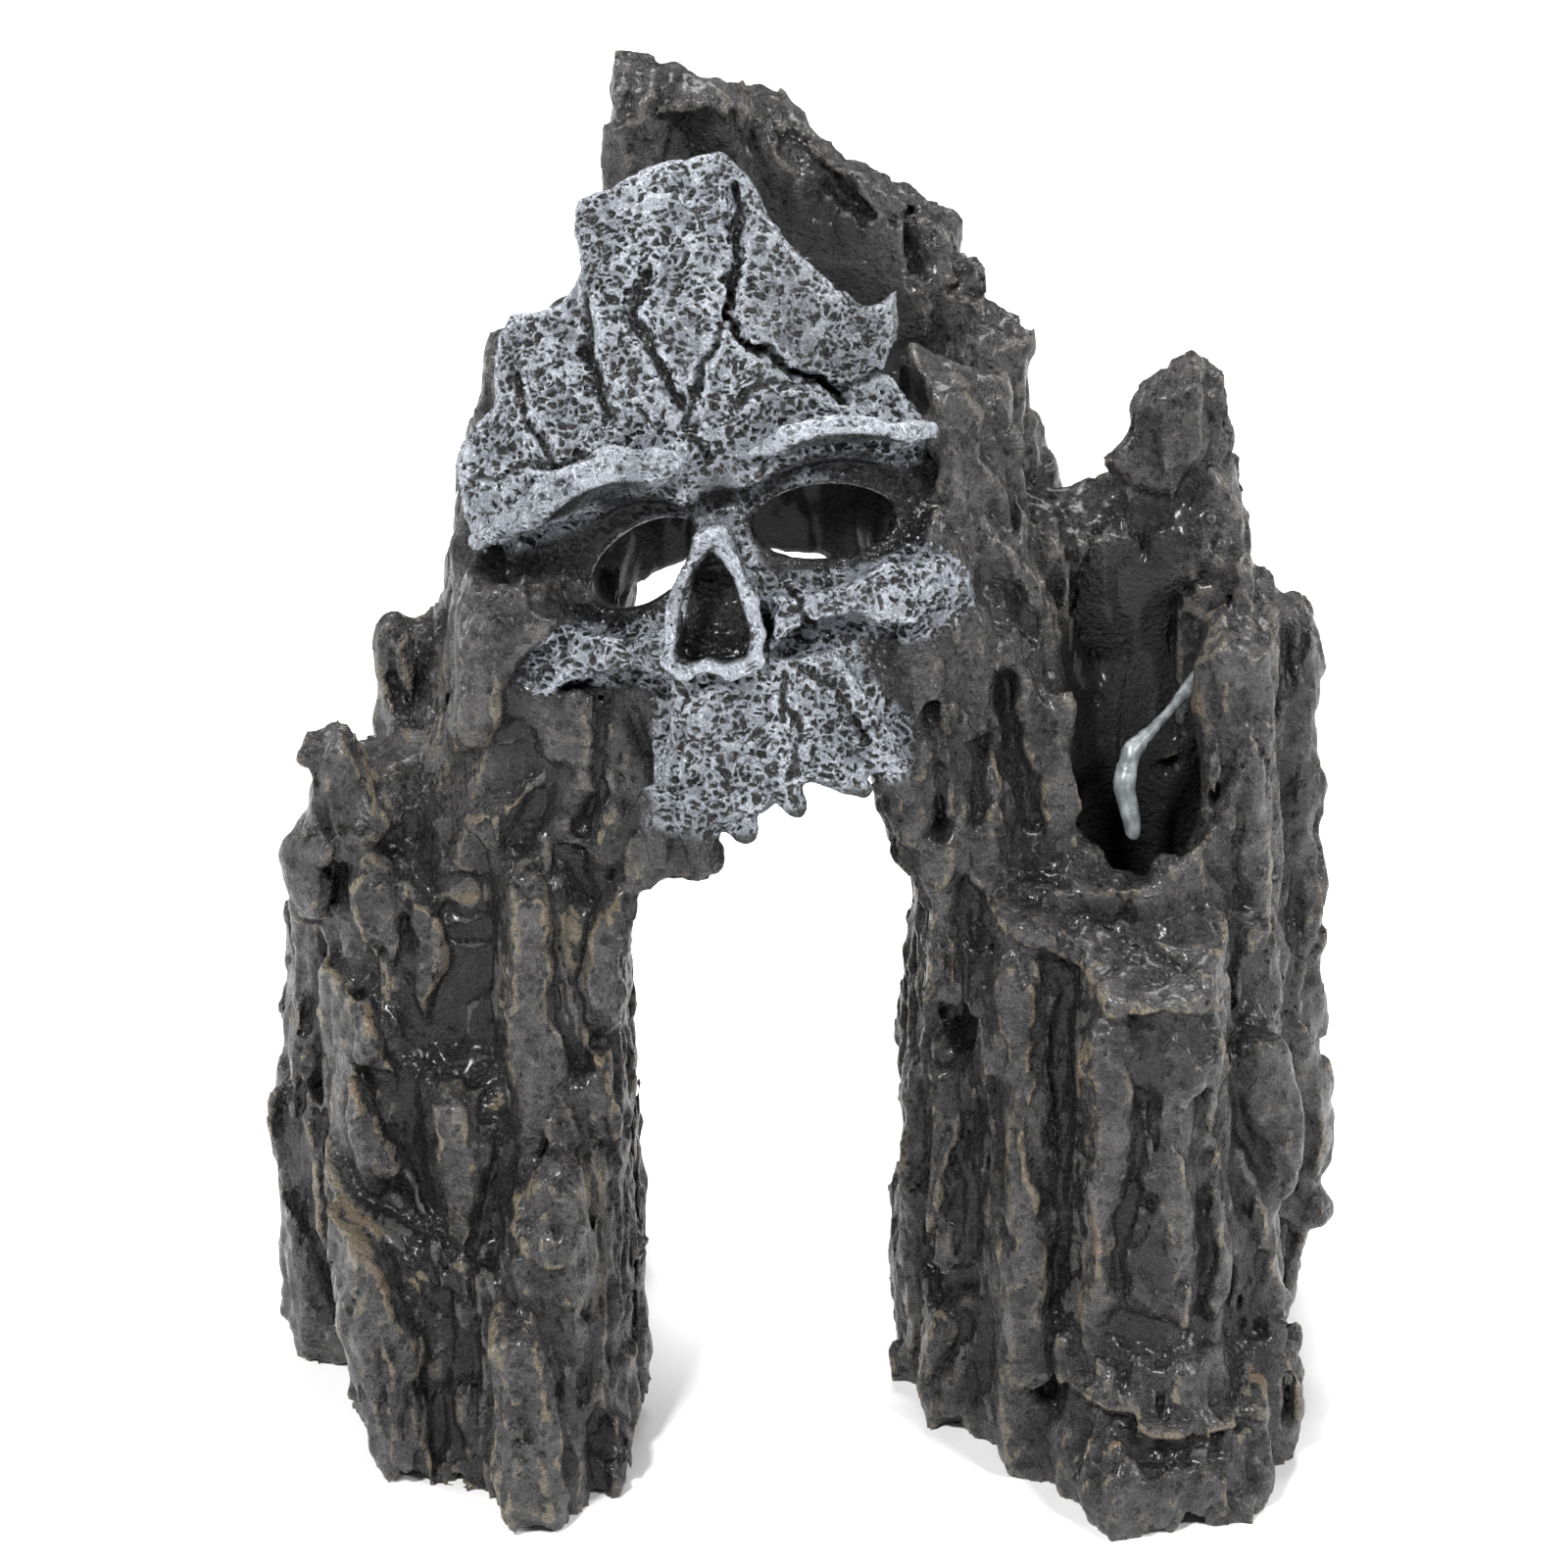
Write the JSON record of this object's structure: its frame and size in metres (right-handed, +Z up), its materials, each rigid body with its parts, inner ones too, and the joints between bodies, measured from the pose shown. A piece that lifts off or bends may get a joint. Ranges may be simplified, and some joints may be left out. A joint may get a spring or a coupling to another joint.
{
  "type": "aquarium cave ornament",
  "caption": "Cast resin rock pile on two legs, with an arched swim-through, a weathered skull mask over the arch and a hollow chamber that opens through the eyes and the top.",
  "frame": {"origin": "middle of the footprint, on the plane that both legs stand on", "axes": "+Z up, +X to the viewer's right when the skull mask faces the viewer, so the mask faces -Y"},
  "size_m": [0.1178, 0.0855, 0.1456],
  "materials": {
    "rock": "satin charcoal with ochre dry-brushed edges",
    "mask": "pale blue-grey dry-brush over pitted charcoal",
    "adhesive": "hardened clear-grey adhesive"
  },
  "bodies": {
    "root": {"adhesive_bead": "adhesive", "left_arch_haunch": "rock", "left_arch_slab": "rock", "left_back_inner": "rock", "left_back_low": "rock", "left_back_outer": "rock", "left_ear_rock": "rock", "left_flank": "rock", "left_front_column": "rock", "left_groove_column": "rock", "left_inner_column": "rock", "left_inner_rear": "rock", "left_leg_core": "rock", "left_low_column": "rock", "left_outer_block": "rock", "left_outer_rear": "rock", "left_spike": "rock", "left_stub_column": "rock", "left_tall_column": "rock", "left_toe": "rock", "rear_crown_rock": "rock", "rear_left_wall": "rock", "rear_lower_knob": "rock", "rear_peak": "rock", "rear_ridge_rock": "rock", "rear_right_wall": "rock", "rear_upper_knob": "rock", "right_arch_haunch": "rock", "right_back_inner": "rock", "right_back_low": "rock", "right_back_outer": "rock", "right_far_column": "rock", "right_flank": "rock", "right_front_foot": "rock", "right_inner_column": "rock", "right_inner_front": "rock", "right_ledge_column": "rock", "right_leg_core": "rock", "right_middle_block": "rock", "right_outer_column": "rock", "right_outer_rear": "rock", "right_ridge_column": "rock", "right_saddle_rock": "rock", "right_shard": "rock", "right_spire": "rock", "right_spire_shoulder": "rock", "right_upper_column": "rock", "right_well_rim": "rock", "skull_mask": "mask"}
  },
  "joints": []
}
